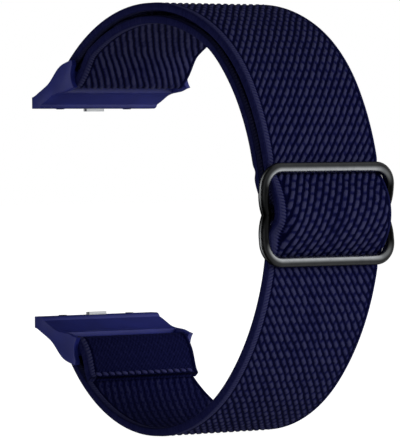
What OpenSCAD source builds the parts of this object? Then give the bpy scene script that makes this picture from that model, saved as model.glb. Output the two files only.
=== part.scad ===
// Nylon watch strap: an elastic webbing loop with a wire slider and a connector at each end.
// The origin lies halfway between the connectors' feet. X runs along the arm, -Y points at the
// wrist and the slider, and Z runs up through the upper connector.

/* [Webbing] */
// Width of the webbing
web_w = 24; // [18:0.5:26]
// Thickness of the webbing
web_t = 1.5; // [1.2:0.1:1.8]
// Thickness of the webbing where the slider pulls it tight
tight_t = 1.2; // [0.9:0.1:1.2]
// Gap between the two layers over the top of the loop
layer_gap = 0.75; // [0.4:0.05:1.2]
// Length of the hem that is sewn down at the lower connector
hem_len = 7.3; // [6:0.1:10]
// Length of the end that is sewn down above the slider
tail_len = 10; // [9.5:0.1:11]
// Diameter of the sewing thread
thread_d = 0.4; // [0.3:0.05:0.5]
// Distance from one stitch to the next
stitch_pitch = 1.45; // [1.3:0.05:2.4]

/* [Loop] */
// Radius of the outer face in front, where the slider runs
front_r = 42.7; // [41:0.1:44]
// Distance from the origin to the centre of the front arc
front_back = 25.5; // [24:0.1:27]
// Turn of the front arc above the origin's level, in degrees
front_up = 30.5; // [29:0.5:34]
// Turn of the front arc below the origin's level, in degrees
front_down = 44; // [38:0.5:48]
// Radius of the shoulder between the front and the top
shoulder_r = 29; // [26:0.5:33]
// Turn of that shoulder, in degrees
shoulder_turn = 31.5; // [24:0.5:38]

/* [Connectors] */
// Height of each foot's middle above or below the origin
foot_z = 19.85; // [19:0.05:21]
// Thickness of the foot
foot_t = 2.1; // [2:0.05:2.3]
// Length of the foot's flat face
foot_l = 1.7; // [1.7:0.1:2.2]
// Radius of the foot's corners, seen from above
foot_corner = 1.4; // [0.8:0.1:2]
// Thickness of the neck behind the foot
neck_t = 2.3; // [2.1:0.1:2.6]
// Height of the head beside the webbing
head_h = 4.9; // [4.4:0.1:5.4]
// Reach of the head's cheeks past the middle of the bar
cheek_reach = 1.9; // [1.7:0.1:2.4]
// Thickness of the cheek beside the webbing
cheek_t = 0.95; // [0.7:0.05:1.4]
// Distance of each webbing bar from the feet, towards the wrist
bar_y = 10.8; // [10.4:0.1:12]
// Height of each webbing bar above or below the origin
bar_z = 24.7; // [24:0.1:25.4]
// Diameter of the webbing bar
bar_d = 2; // [1.6:0.1:2.2]

/* [Latch] */
// Length of the latch button across the foot
button_l = 4.4; // [3.6:0.1:6]
// Width of the latch button
button_w = 0.8; // [0.6:0.05:0.85]
// How far the latch button stands out of the foot, which is also its travel
button_out = 0.5; // [0.3:0.05:0.55]
// Thickness of the latch button's rim
rim_t = 0.35; // [0.25:0.05:0.4]
// Thickness of the cover plate that holds the latch button in
cover_t = 0.3; // [0.2:0.05:0.35]
// Height of the room behind the latch button
spring_h = 0.85; // [0.75:0.05:0.95]
// Thickness of the latch spring's strip
spring_t = 0.12; // [0.08:0.01:0.16]
// Diameter of the bearing pads beside the button
pad_d = 1.5; // [1:0.1:1.6]
// Distance of each pad from the middle of the foot
pad_x = 7.5; // [5.5:0.5:9]
// How far the pads stand out of the foot
pad_out = 0.12; // [0.05:0.01:0.2]

/* [Slider] */
// Width of the slider over its rails
slider_w = 29.1; // [28.6:0.1:31]
// Height of the slider over its two outer bars
slider_h = 17.7; // [16.5:0.1:19]
// Diameter of the slider's wire
wire_d = 1.8; // [1.6:0.1:2]
// Radius of the slider's bulging sides, at the middle of the wire
side_r = 8.4; // [7.6:0.1:9.4]
// Radius of the slider's outer corners, at the middle of the wire
corner_r = 3.2; // [2.6:0.1:3.8]
// How far the waist draws in from the sides
waist_in = 1.05; // [0.7:0.05:1.3]
// Depth of the centre bar's middle under the webbing's outer face
bar_sink = 0.6; // [0.4:0.05:0.8]
// Turn of the slider's middle below the origin's level, in degrees
slider_low = 0.5; // [-1:0.1:2]
// Slider travel along the strap each way
travel = 10; // [4:0.5:10]

/* [Fits] */
// Radial running clearance of the webbing round a bar
run_clear = 0.05; // [0.02:0.01:0.08]
// Clearance between the webbing and what slides over it
slide_gap = 0.2; // [0.15:0.01:0.3]
// Clearance beside a sewn layer that lies between two others
lie_gap = 0.075; // [0.05:0.005:0.1]
// Clearance between the webbing and a connector's head
side_gap = 0.15; // [0.1:0.05:0.3]
// Clearance round the latch button
latch_gap = 0.05; // [0.03:0.01:0.08]

/* [Hidden] */

step_a = 2;
fold_step = 10;
fine = 96;
navy = [0.055, 0.075, 0.24];
navy_edge = [0.10, 0.12, 0.32];
thread_navy = [0.12, 0.14, 0.36];
connector_navy = [0.09, 0.10, 0.28];
gunmetal = [0.30, 0.31, 0.33];
steel = [0.62, 0.63, 0.65];
pad_grey = [0.16, 0.16, 0.18];

// The outer face is a chain of arcs that meet in line. The two that close the chain take the
// radius at which they touch the webbing folded round a connector's bar.
fold_in_r = bar_d / 2 + run_clear;
fold_r = fold_in_r + web_t;
front_gap = tight_t + 2 * lie_gap;
widen_from = 26;
widen_over = 10;
upper_bar = [-bar_y, bar_z];
lower_bar = [-bar_y, -bar_z];
front_c = [-front_back, 0];
front_top_a = 180 - front_up;
front_low_a = 180 + front_down;
shoulder_c = front_c + polar(front_r - shoulder_r, front_top_a);
top_a = front_top_a - shoulder_turn;
shoulder_end = shoulder_c + polar(shoulder_r, top_a);
top_r = closing_r(shoulder_end, polar(1, top_a), upper_bar);
top_c = shoulder_end - polar(top_r, top_a);
upper_end_a = angle_of(upper_bar - top_c);
front_end = front_c + polar(front_r, front_low_a);
low_r = closing_r(front_end, polar(1, front_low_a), lower_bar);
low_c = front_end - polar(low_r, front_low_a);
low_end_a = 360 + angle_of(lower_bar - low_c);

// The slider stands on the front arc. Heights there run up along the outer face from the
// slider's middle, and depths run out from that face.
wire_r = wire_d / 2;
slider_a = 180 + slider_low;
mm_a = 180 / (PI * front_r);
out_dir = polar(1, slider_a);
up_dir = polar(1, slider_a - 90);
centre_bar = at_slider(0, -bar_sink);
bar_up = slider_h / 2 - wire_r;
bar_out = sqrt((front_r + slide_gap + wire_r) ^ 2 - bar_up ^ 2) - front_r + bar_sink;
loop_h = micron(norm([bar_up, bar_out]));
loop_tilt = atan2(bar_out, bar_up);
rail_x = slider_w / 2 - wire_r;
waist_x = rail_x - waist_in;
side_c = [rail_x - side_r, micron(sqrt(side_r ^ 2 - (side_r - waist_in) ^ 2))];
corner_c = [rail_x - corner_r, loop_h - corner_r];
centre_bar_l = 2 * waist_x - wire_r;

// What the slider moves stays inside the part of the webbing that gives way to it. The stitches
// at the sewn end stay in it too.
stitch_in = 1.2;
stitch_share = 0.55;
hem_r = wire_r + run_clear + tight_t;
hem_w = min(web_w, 2 * (waist_x - wire_r - slide_gap));
pass_w = min(web_w, 2 * (rail_x - wire_r - slide_gap));
pass_half = travel + bar_up + wire_r + slide_gap;
tail_top = travel + tail_len - stitch_in + thread_d + slide_gap;
bump_half = bar_up - wire_r;
hem_leave_a = 50;
hem_leave = 1.8;
hem_settle = 0.55;
hem_end_depth = -web_t - front_gap / 2;

// A connector's side view runs from the foot along a neck to the head.
conn_w = web_w + 2 * (side_gap + cheek_t);
recess_w = web_w + 2 * side_gap;
foot_face = foot_z - foot_t / 2;
head_end = upper_bar + [-cheek_reach, 0.15];
neck_path = [[0, foot_z] + [-0.4, 0.05], [0, foot_z] + [-4.6, 1.25], head_end + [4.3, -0.55], head_end];
neck_inset = 0.05;
neck_over = 0.2;
head_from = 0.38;
head_over = 0.42;
horn_cut = 2.2;
cheek_hollow_r = 3.3;
button_y = -foot_l / 2;
rim_out = [0.4, 0.15];
ledge = [0.4, 0.2];
button_size = [button_l, button_w];
rim_size = button_size + 2 * rim_out;
pocket_size = rim_size + 2 * [latch_gap, latch_gap];
cover_size = pocket_size + 2 * ledge;
rim_face = foot_face + cover_t + rim_t;
pocket_top = rim_face + spring_h;
spring_l = 4;
spring_w = 0.8;
pad_depth = 0.8;

function polar(r, a) = r * [cos(a), sin(a)];
function angle_of(v) = atan2(v[1], v[0]);
function micron(x) = round(x * 1000) / 1000;
function smooth(x) = let (c = min(max(x, 0), 1)) c * c * (3 - 2 * c);
function mix(a, b, k) = a + (b - a) * k;
function backwards(list) = [for (i = [len(list) - 1:-1:0]) list[i]];
function closing_r(p, n, bar) = let (d = p - bar) (d * d - fold_r ^ 2) / (2 * (n * d - fold_r));
function at_slider(s, q) = front_c + polar(front_r + q, slider_a - s * mm_a);
function bezier(p, t) =
    (1 - t) ^ 3 * p[0] + 3 * t * (1 - t) ^ 2 * p[1] + 3 * t ^ 2 * (1 - t) * p[2] + t ^ 3 * p[3];

// A station is a point on the outer face and the direction out of the strap there.
function arc_run(c, r, from, to) =
    let (n = max(2, ceil(abs(to - from) / step_a)))
    [for (i = [0:n]) let (a = from + (to - from) * i / n) [c + polar(r, a), polar(1, a)]];
function lifted(stations, depth) = [for (s = stations) s[0] - depth * s[1]];
function fold_points(c, r, from, to) =
    let (n = ceil(abs(to - from) / fold_step)) [for (i = [0:n]) c + polar(r, from + (to - from) * i / n)];

// Depth of the gap under the outer layer: as wide as the bar at a connector, then narrow.
function bar_gap(p, bar, rest) =
    mix(2 * fold_in_r, rest, smooth((norm(p - bar) - fold_r) / (2 * fold_r)));
function inner_gap(p) =
    let (forward = smooth((front_c[0] - p[0] - widen_from) / widen_over))
    bar_gap(p, upper_bar, mix(layer_gap, front_gap, forward));
function hem_gap(p) = bar_gap(p, lower_bar, lie_gap);

// Thickness of a connector along its neck: it leaves the foot thinner than the foot is, and
// widens to the head.
function neck_thickness(u) =
    mix(mix(foot_t - 2 * neck_inset, neck_t, smooth(u / neck_over)), head_h,
        smooth((u - head_from) / head_over));

// Outline of a strip that follows middle points, with its own thickness at each.
function strip_outline(mid, thick) =
    let (n = len(mid) - 1,
         side = [for (i = [0:n])
             let (d = mid[min(i + 1, n)] - mid[max(i - 1, 0)]) [d[1], -d[0]] / norm(d)])
    concat([for (i = [0:n]) mid[i] + side[i] * thick[i] / 2],
           [for (i = [n:-1:0]) mid[i] - side[i] * thick[i] / 2]);

// Extrudes a side view, drawn in Y and Z, evenly to both sides of the strap's middle.
module across(width) {
    rotate([90, 0, 90]) linear_extrude(width, center = true) children();
}

module cross_pin(c, r, width) {
    translate([0, c[0], c[1]]) rotate([0, 90, 0]) cylinder(h = width, r = r, center = true, $fn = fine);
}

module webbing_lower_run() {
    run = concat(
        arc_run(front_c, front_r, slider_a + (pass_half + slide_gap) * mm_a, front_low_a),
        arc_run(low_c, low_r, front_low_a + step_a, low_end_a));
    hem = arc_run(low_c, low_r, low_end_a, low_end_a - (hem_len / low_r) * 180 / PI);
    color(navy) difference() {
        across(web_w) polygon(concat(
            lifted(run, 0),
            fold_points(lower_bar, fold_r, low_end_a + fold_step, low_end_a + 180 - fold_step),
            [for (s = hem) s[0] - (2 * web_t + hem_gap(s[0])) * s[1]],
            backwards([for (s = hem) s[0] - (web_t + hem_gap(s[0])) * s[1]]),
            fold_points(lower_bar, fold_in_r - run_clear,
                low_end_a + 180 - fold_step, low_end_a + fold_step),
            backwards(lifted(run, web_t))));
        cross_pin(lower_bar, fold_in_r, web_w + 2);
    }
}

module webbing_upper_run() {
    over = concat(
        arc_run(shoulder_c, shoulder_r, front_top_a - step_a, top_a),
        arc_run(top_c, top_r, top_a - step_a, upper_end_a));
    outer = concat(arc_run(front_c, front_r, slider_a - (pass_half + slide_gap) * mm_a, front_top_a), over);
    inner = concat(arc_run(front_c, front_r, slider_a - (tail_top + slide_gap) * mm_a, front_top_a), over);
    color(navy) difference() {
        across(web_w) polygon(concat(
            lifted(outer, 0),
            fold_points(upper_bar, fold_r, upper_end_a - fold_step, upper_end_a - 180 + fold_step),
            backwards([for (s = inner) s[0] - (2 * web_t + inner_gap(s[0])) * s[1]]),
            [for (s = inner) s[0] - (web_t + inner_gap(s[0])) * s[1]],
            fold_points(upper_bar, fold_in_r - run_clear,
                upper_end_a - 180 + fold_step, upper_end_a - fold_step),
            backwards(lifted(outer, web_t))));
        cross_pin(upper_bar, fold_in_r, web_w + 2);
    }
}

// The outer layer dips under the slider's outer bars and rises over the end wrapped round
// the centre bar.
module webbing_slider_pass() {
    peak = hem_r - bar_sink + lie_gap + tight_t / 2;
    n = ceil(2 * pass_half);
    heights = [for (i = [0:n]) pass_half * (2 * i / n - 1)];
    rise = [for (s = heights) abs(s) < bump_half ? (1 + cos(180 * s / bump_half)) / 2 : 0];
    color(navy) across(pass_w) polygon(strip_outline(
        [for (i = [0:n]) at_slider(heights[i], mix(-web_t / 2, peak, rise[i]))],
        [for (k = rise) mix(web_t, tight_t, k)]));
}

// The inner layer comes down to the back of the centre bar.
module webbing_slider_tail() {
    n = 36;
    heights = [for (i = [0:n]) mix(lie_gap, tail_top, i / n)];
    away = [for (s = heights) smooth(s / bump_half)];
    back = -bar_sink - hem_r + tight_t / 2;
    rest = -1.5 * web_t - front_gap;
    color(navy) across(hem_w) polygon(strip_outline(
        [for (i = [0:n]) at_slider(heights[i], mix(back, rest, away[i]))],
        [for (k = away) mix(tight_t, web_t, k)]));
}

// The webbing's end turns under the centre bar and over its front, and then lies between
// the two layers.
module slider_hem() {
    mid_r = hem_r - tight_t / 2;
    top = polar(mid_r, 90 - hem_leave_a) - [0, bar_sink];
    path = [top, top + polar(hem_leave, -hem_leave_a),
        [hem_settle * bar_up, hem_end_depth], [bar_up, hem_end_depth]];
    wrap = [for (i = [0:23]) let (a = 180 + (180 + hem_leave_a) * i / 23)
        centre_bar + mid_r * (cos(a) * out_dir + sin(a) * up_dir)];
    peel = [for (i = [1:10]) let (p = bezier(path, i / 10)) at_slider(p[0], p[1])];
    flat_end = [for (i = [1:4]) at_slider(mix(bar_up, tail_len, i / 4), hem_end_depth)];
    mid = concat(wrap, peel, flat_end);
    color(navy) difference() {
        across(hem_w) polygon(strip_outline(mid, [for (p = mid) tight_t]));
        cross_pin(centre_bar, wire_r + run_clear, web_w + 2);
    }
}

// A row of stitches across the strap. Each has a bar of thread on either face and one that
// joins them through the layers.
module stitch_row(p, a, width, depth, sunk) {
    n = floor((width - 2 * stitch_in) / stitch_pitch);
    for (i = [0:n]) translate([(i - n / 2) * stitch_pitch, p[0], p[1]]) rotate([a, 0, 0]) {
        translate([0, -sunk, 0]) rotate([90, 0, 0]) cylinder(h = depth - sunk, d = thread_d, $fn = 24);
        for (y = [-sunk, -depth]) translate([0, y, 0]) thread_bar(stitch_share * stitch_pitch);
    }
}

module thread_bar(l) {
    rotate([0, 90, 0]) cylinder(h = l, d = thread_d, center = true, $fn = 24);
    for (side = [-1, 1]) translate([side * l / 2, 0, 0]) sphere(d = thread_d, $fn = 24);
}

module lower_hem_stitching() {
    a = low_end_a - ((hem_len - stitch_in) / low_r) * 180 / PI;
    p = low_c + polar(low_r, a);
    color(thread_navy) stitch_row(p, a, web_w, 2 * web_t + hem_gap(p), 0);
}

module slider_hem_stitching() {
    s = tail_len - stitch_in;
    color(thread_navy) stitch_row(at_slider(s, -web_t - lie_gap), slider_a - s * mm_a, hem_w,
        front_gap + web_t - lie_gap, thread_d / 2);
}

// A bend of the wire in the plane of X and Y, from the direction of +X round to an angle.
module bend(c, r, to) {
    translate([c[0], c[1], 0]) rotate_extrude(angle = to, $fn = fine)
        translate([r, 0]) circle(wire_r, $fn = 48);
}

// One loop of the slider, flat in its own plane, with the centre bar along its lower edge. Its
// sides bulge out from the waist, where they cross the other loop's, and run straight into the
// corners.
module slider_loop() {
    for (side = [0, 1]) mirror([side, 0, 0]) {
        translate([0, 2 * side_c[1], 0]) mirror([0, 1, 0]) bend(side_c, side_r, asin(side_c[1] / side_r));
        translate([rail_x, side_c[1], 0]) rotate([-90, 0, 0])
            cylinder(h = corner_c[1] - side_c[1], r = wire_r, $fn = 48);
        bend(corner_c, corner_r, 90);
    }
    translate([0, loop_h, 0]) rotate([0, 90, 0])
        cylinder(h = 2 * corner_c[0], r = wire_r, center = true, $fn = 48);
}

// The centre bar is let into the wire at both waists.
module slider_frame() {
    color(gunmetal) difference() {
        translate([0, centre_bar[0], centre_bar[1]]) rotate([slider_a - 90, 0, 0])
            for (side = [0, 1]) mirror([0, side, 0]) rotate([loop_tilt, 0, 0]) slider_loop();
        cross_pin(centre_bar, wire_r, centre_bar_l);
    }
}

module slider_centre_bar() {
    color(gunmetal) cross_pin(centre_bar, wire_r, centre_bar_l);
}

// Side view of the upper connector: a rounded foot, and a neck that widens to the head. The
// head's end is hollow behind the bar.
module connector_side() {
    n = 20;
    difference() {
        union() {
            for (y = [0, -foot_l]) translate([y, foot_z]) circle(d = foot_t, $fn = 48);
            translate([-foot_l, foot_face]) square([foot_l, foot_t]);
            polygon(strip_outline(
                [for (i = [0:n]) bezier(neck_path, i / n)],
                [for (i = [0:n]) neck_thickness(i / n)]));
        }
        translate([-bar_y - bar_d / 2 - side_gap - cheek_hollow_r, bar_z]) circle(cheek_hollow_r, $fn = 48);
    }
}

// View of a connector from above, with the foot's corners rounded.
module connector_plan() {
    front = foot_t / 2;
    translate([-conn_w / 2, head_end[0] - 1]) square([conn_w, front - foot_corner - head_end[0] + 1]);
    translate([foot_corner - conn_w / 2, -foot_l]) square([conn_w - 2 * foot_corner, foot_l + front]);
    for (side = [-1, 1])
        translate([side * (conn_w / 2 - foot_corner), front - foot_corner]) circle(foot_corner, $fn = 48);
}

// A slot's plan with round ends, by its length and width.
module slot_plan(size) {
    square([size[0] - size[1], size[1]], center = true);
    for (side = [-1, 1]) translate([side * (size[0] - size[1]) / 2, 0]) circle(d = size[1], $fn = 32);
}

module slot_block(size, from, to) {
    translate([0, button_y, from]) linear_extrude(to - from) slot_plan(size);
}

module connector() {
    difference() {
        intersection() {
            across(conn_w) connector_side();
            translate([0, 0, foot_face - 1]) linear_extrude(bar_z + head_h - foot_face) connector_plan();
        }
        across(recess_w) {
            translate(upper_bar) circle(fold_r + side_gap, $fn = fine);
            translate([head_end[0] - 1, bar_z - head_h]) square([horn_cut + cheek_reach + 1, 2 * head_h]);
        }
        slot_block(pocket_size, foot_face - 1, pocket_top);
        slot_block(cover_size, foot_face - 1, foot_face + cover_t);
        for (side = [-1, 1]) translate([side * pad_x, button_y, foot_face - 1])
            cylinder(h = pad_depth + 1, d = pad_d + latch_gap, $fn = 48);
    }
    cross_pin(upper_bar, bar_d / 2, recess_w + cheek_t);
}

module latch_button() {
    slot_block(button_size, foot_face - button_out, rim_face - rim_t / 2);
    slot_block(rim_size, foot_face + cover_t, rim_face);
}

// A bowed strip between the button's rim and the bottom of its pocket.
module latch_spring() {
    n = 16;
    bow = spring_h - spring_t;
    translate([0, button_y, rim_face + spring_t / 2]) rotate([90, 0, 0])
        linear_extrude(spring_w, center = true) polygon(strip_outline(
            [for (i = [0:n]) let (k = 2 * i / n - 1) [k * spring_l / 2, bow * k ^ 2]],
            [for (i = [0:n]) spring_t]));
}

module latch_cover() {
    difference() {
        slot_block(cover_size, foot_face, foot_face + cover_t);
        slot_block(button_size + 2 * [latch_gap, latch_gap], foot_face - 1, foot_face + cover_t + 1);
    }
}

module foot_pads() {
    for (side = [-1, 1]) translate([side * pad_x, button_y, foot_face - pad_out])
        cylinder(h = pad_depth + pad_out, d = pad_d, $fn = 48);
}

// The lower connector and all that it holds are the upper one's mirror image.
module below() {
    mirror([0, 0, 1]) children();
}

webbing_lower_run();
webbing_upper_run();
webbing_slider_pass();
webbing_slider_tail();
slider_hem();
lower_hem_stitching();
slider_hem_stitching();
slider_frame();
slider_centre_bar();
color(connector_navy) connector();  // upper_connector
color(steel) latch_button();  // upper_latch_button
color(steel) latch_spring();  // upper_latch_spring
color(steel) latch_cover();  // upper_latch_cover
color(pad_grey) foot_pads();  // upper_foot_pads
below() color(connector_navy) connector();  // lower_connector
below() color(steel) latch_button();  // lower_latch_button
below() color(steel) latch_spring();  // lower_latch_spring
below() color(steel) latch_cover();  // lower_latch_cover
below() color(pad_grey) foot_pads();  // lower_foot_pads
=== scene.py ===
"""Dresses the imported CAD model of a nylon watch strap: woven webbing, rows of stitches, the slider's wire,
connectors, latch springs and a stage.

In the code lengths are millimetres and angles degrees, and new_piece turns them to metres. The property
groups hold metres, as Blender does. The sizes of the route repeat the values that the CAD model was drawn
with, because the webbing is carried along the same route.
"""

import math
from types import SimpleNamespace

import bmesh
import bpy
import numpy as np
from mathutils import Matrix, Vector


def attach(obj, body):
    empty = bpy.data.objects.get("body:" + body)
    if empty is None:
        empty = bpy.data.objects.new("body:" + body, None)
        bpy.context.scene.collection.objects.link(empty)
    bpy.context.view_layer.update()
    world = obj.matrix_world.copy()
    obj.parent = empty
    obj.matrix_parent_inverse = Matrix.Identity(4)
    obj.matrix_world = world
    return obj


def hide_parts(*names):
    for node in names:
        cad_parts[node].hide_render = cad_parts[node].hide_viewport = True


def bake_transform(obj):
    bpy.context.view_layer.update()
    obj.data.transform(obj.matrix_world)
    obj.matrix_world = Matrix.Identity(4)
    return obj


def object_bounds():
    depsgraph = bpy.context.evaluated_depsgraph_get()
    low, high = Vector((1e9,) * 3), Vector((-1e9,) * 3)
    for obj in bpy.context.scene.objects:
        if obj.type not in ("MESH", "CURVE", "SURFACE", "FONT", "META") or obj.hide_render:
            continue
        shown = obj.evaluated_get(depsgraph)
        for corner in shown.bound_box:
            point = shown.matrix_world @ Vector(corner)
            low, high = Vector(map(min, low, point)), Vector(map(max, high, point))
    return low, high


bl_info = {
    "name": "Nylon watch strap",
    "version": (1, 0, 0),
    "blender": (4, 5, 0),
    "location": "3D View > Sidebar > Strap",
    "description": "Builds the looks of a woven nylon strap round its CAD model",
    "category": "Add Mesh",
}

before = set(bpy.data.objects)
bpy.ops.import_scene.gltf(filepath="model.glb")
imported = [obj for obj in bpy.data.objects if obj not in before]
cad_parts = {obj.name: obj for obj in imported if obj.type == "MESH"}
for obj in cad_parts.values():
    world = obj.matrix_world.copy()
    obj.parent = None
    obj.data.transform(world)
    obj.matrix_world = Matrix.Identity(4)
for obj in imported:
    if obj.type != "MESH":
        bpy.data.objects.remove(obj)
CAD_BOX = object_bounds()
MM = 0.001

# The webbing: its width, and its thickness loose, stretched round the slider, and on top of its arch
WEB_W, WEB_T, TIGHT_T, ARCH_T = 24.0, 1.5, 1.2, 1.35
# Gaps: between the two layers, round a bar, under a layer that lies on another, and under the slider
LAYER_GAP, RUN_CLEAR, LIE_GAP, SLIDE_GAP = 0.75, 0.05, 0.075, 0.2
# Sewn ends: length of the hem and of the tail, the tail's width and over how much it narrows, and how
# far the stitches are from each end
HEM_LEN, TAIL_LEN, TAIL_W, TAIL_NARROWS = 7.3, 10.0, 22.0, 4.0
HEM_STITCH_IN, TAIL_STITCH_IN = 0.45, 1.2
# Length of a row of stitches at the hem and at the tail, and a stitch's lean in mm, how flat it is, and
# the power that rounds its ends
HEM_ROW, TAIL_ROW, STITCH_LEAN, STITCH_FLAT, STITCH_POWER = 23.0, 19.2, 0.16, 0.8, 0.6
# The front arc and the shoulder above it, and where the gap behind them gets wider
FRONT_R, FRONT_UP, FRONT_DOWN = 42.7, 30.5, 44.0
FRONT_C = np.array([-25.5, 0.0])
SHOULDER_R, SHOULDER_TURN = 29.0, 31.5
WIDEN_FROM, WIDEN_OVER = 26.0, 10.0
# The connectors' bars: distance from the middle in Y and Z, and radius
BAR_Y, BAR_Z, BAR_R = 10.8, 24.7, 1.0
# The slider: its turn on the front arc, how far its outer bars are from the centre bar, how deep the
# centre bar sits, the wire's radius, the width in all, the radii of sides and corners, the waist's depth
SLIDER_A, BAR_UP, BAR_SINK, WIRE_R = 180.5, 7.95, 0.6, 0.9
SLIDER_W, SIDE_R, CORNER_R, WAIST_IN = 29.1, 8.4, 3.2, 1.05
# How the hem leaves the centre bar: at this angle, straight for this long, flat at this share of BAR_UP
HEM_LEAVE_A, HEM_LEAVE, HEM_SETTLE = 50.0, 1.8, 0.55
# Along the front arc from the slider's middle: where the pass under its bars ends, and where the tail's
# straight part starts
PASS_END, TAIL_TOP = 19.05, 19.4
# The arch over the centre bar: how far it reaches past the bars' inner sides, and its power
ARCH_SPARE, ARCH_POWER = 0.25, 1.2
# Distance between points of a route before it is made even
SAMPLE = 0.1

FOLD_IN_R = BAR_R + RUN_CLEAR
FOLD_R = FOLD_IN_R + WEB_T
FRONT_GAP = TIGHT_T + 2 * LIE_GAP
UPPER_BAR = np.array([-BAR_Y, BAR_Z])
LOWER_BAR = np.array([-BAR_Y, -BAR_Z])
HEM_R = WIRE_R + RUN_CLEAR + TIGHT_T
BUMP_HALF = BAR_UP - WIRE_R
HEM_END_DEPTH = -WEB_T - FRONT_GAP / 2

# The weave's heights, as shares of its relief: where a rib rises out of its cosine and over how much,
# a float's ends and crest, how unlike two floats are, an unbroken rib, and the fine cloth and its dots
RIB_FOOT, RIB_RISE = 0.1, 0.62
FLOAT_ENDS, FLOAT_CREST, FLOAT_VARIES, UNBROKEN = 0.3, 1.03, 0.22, 0.85
FINE_LEVEL, FINE_DOTS = 0.3, 0.2
# The same for the selvedges, with their knots and the groove beside them, and what shows on the edges
LEFT_BAND, RIGHT_BAND, KNOTS_RISE, GROOVE_DEPTH, EDGE_LEVEL = 0.6, 0.5, 0.34, 0.8, 0.45
# Their widths in mm: the knots' distance from the groove and half width, the step and the groove
KNOTS_IN, KNOTS_HALF, STEP_OVER, GROOVE_HALF = 0.5, 0.42, 0.16, 0.22
# The left selvedge's ties: slant in turns per mm across, and height. Fuzz: blotches per mm, and height
TIE_SLANT, TIE_RISE, FUZZ_PER_MM, FUZZ_RISE = 0.7, 0.45, 2.6, 0.6
# Irregular weave: how far it wanders in turns, and over how many mm across and along
RIB_WANDER, RIB_JITTER, ROW_JITTER = (0.07, 2.1, 2.6), (0.06, 0.7, 0.8), (0.06, 0.9, 1.3)
# Along a run: over how much the fine cloth sets in, and where the staggered floats give way to columns
CALM_OVER, STAGGER_END, STAGGER_OVER = 1.5, 14.0, 3.0

# The slider's marks on the webbing, as bells with a middle up or down the arc and a half width: dents
# just outside its bars, and on the left edge a slack stretch that sinks and another that spreads
DENT_OUT, DENT_HALF = 0.1, 0.85
SLACK_AT, SLACK_HALF, SLACK_SINKS = -3.5, 1.9, 1.35
SPREAD_AT, SPREAD_HALF, SPREAD_BY = -4.4, 1.6, 0.45
# Where the arch's edges curl in, from the middle and over how much, and the right one's share
CURL_LEFT, CURL_RIGHT, RIGHT_CURLS = (8.6, 3.6), (9.0, 3.4), 0.25
EDGE_SINK = 0.02

# Where painted highlights sit on the wire's plating, with painted shade elsewhere, each as where it starts
# and over
# how much: up a rail from the waist, on a rail's two lines, on a bar's lit side, from rail to bar, and the
# right corners painted darker
RAIL_LIGHTS, RAIL_LINES, BAR_LINE = (0.6, 3.4), (0.45, 0.4), (-0.4, 0.8)
BAR_STARTS, CORNER_X, CORNER_UP = (BAR_UP - 3.4, 3.0), (9.0, 3.5), (BAR_UP, 1.2)
DARK_RAIL, DARK_BAR, DARK_CORNER = 0.02, 0.08, 0.35

# The tent's glow, and its lit panels: the turn of each one's middle from -Y towards +X, its half width,
# its height, its half height and its strength
TENT_GLOW = 0.012
PANELS = [(-117.0, 14.0, 0.0, 60.0, 2.0), (0.0, 400.0, 90.0, 34.0, 0.1), (37.0, 62.0, 0.0, 88.0, 1.15)]
# The lamps: name, place in metres and size in metres
LAMPS = [("key", (0.5, -0.9, 0.2), 0.8), ("fill", (-0.9, -0.4, 0.12), 0.4), ("back", (0.35, 1.0, 0.3), 0.6)]
# The camera, fitted to the strap's edges: its right, up and backward axes, its place in metres, its lens
CAMERA_AXES = [
    (0.79511551, -0.60634019, -0.01195431),
    (0.01699839, 0.002578, 0.99985219),
    (-0.60621975, -0.79520119, 0.01235662),
]
CAMERA_PLACE = (-0.44384337, -0.61468759, 0.00748779)
CAMERA_LENS, CAMERA_SENSOR = 338.0, 36.0


def polar(r, a):
    """Points at distance r in direction a, in degrees from +Y towards +Z."""
    a = np.radians(a)
    return np.stack([r * np.cos(a), r * np.sin(a)], -1)


def smooth(x):
    """Goes from 0 to 1 along 3x^2 - 2x^3, and is level outside that."""
    c = np.clip(x, 0, 1)
    return c * c * (3 - 2 * c)


def rise(x, start, over):
    """The same curve from 0 at start to 1 at start + over."""
    return smooth((x - start) / over)


def bell(x, middle, half):
    """A bell curve of height 1: e to the power of minus the square of the distance in half widths."""
    return np.exp(-(((x - middle) / half) ** 2))


def mix(a, b, k):
    """A straight line from a, where k is 0, to b, where k is 1."""
    return a + (b - a) * k


def angle_of(v):
    """Direction of a vector in degrees from +Y towards +Z."""
    return math.degrees(math.atan2(v[1], v[0]))


def closing_radius(p, n, bar):
    """Radius of the arc that leaves p square to n and touches the webbing folded round a bar."""
    d = p - bar
    return (d @ d - FOLD_R**2) / (2 * (n @ d - FOLD_R))


# The outer face is a chain of arcs: front, shoulder and top above, front and bottom below
FRONT_TOP_A, FRONT_LOW_A = 180 - FRONT_UP, 180 + FRONT_DOWN
SHOULDER_C = FRONT_C + polar(FRONT_R - SHOULDER_R, FRONT_TOP_A)
TOP_A = FRONT_TOP_A - SHOULDER_TURN
SHOULDER_END = SHOULDER_C + polar(SHOULDER_R, TOP_A)
TOP_R = closing_radius(SHOULDER_END, polar(1, TOP_A), UPPER_BAR)
TOP_C = SHOULDER_END - polar(TOP_R, TOP_A)
UPPER_END_A = angle_of(UPPER_BAR - TOP_C)
FRONT_END = FRONT_C + polar(FRONT_R, FRONT_LOW_A)
LOW_R = closing_radius(FRONT_END, polar(1, FRONT_LOW_A), LOWER_BAR)
LOW_C = FRONT_END - polar(LOW_R, FRONT_LOW_A)
LOW_END_A = 360 + angle_of(LOWER_BAR - LOW_C)
MM_A = math.degrees(1 / FRONT_R)


def at_slider(s, q):
    """Point s mm up the front arc from the slider's middle and q mm out of the webbing's face."""
    return FRONT_C + polar(FRONT_R + q, SLIDER_A - s * MM_A)


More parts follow.
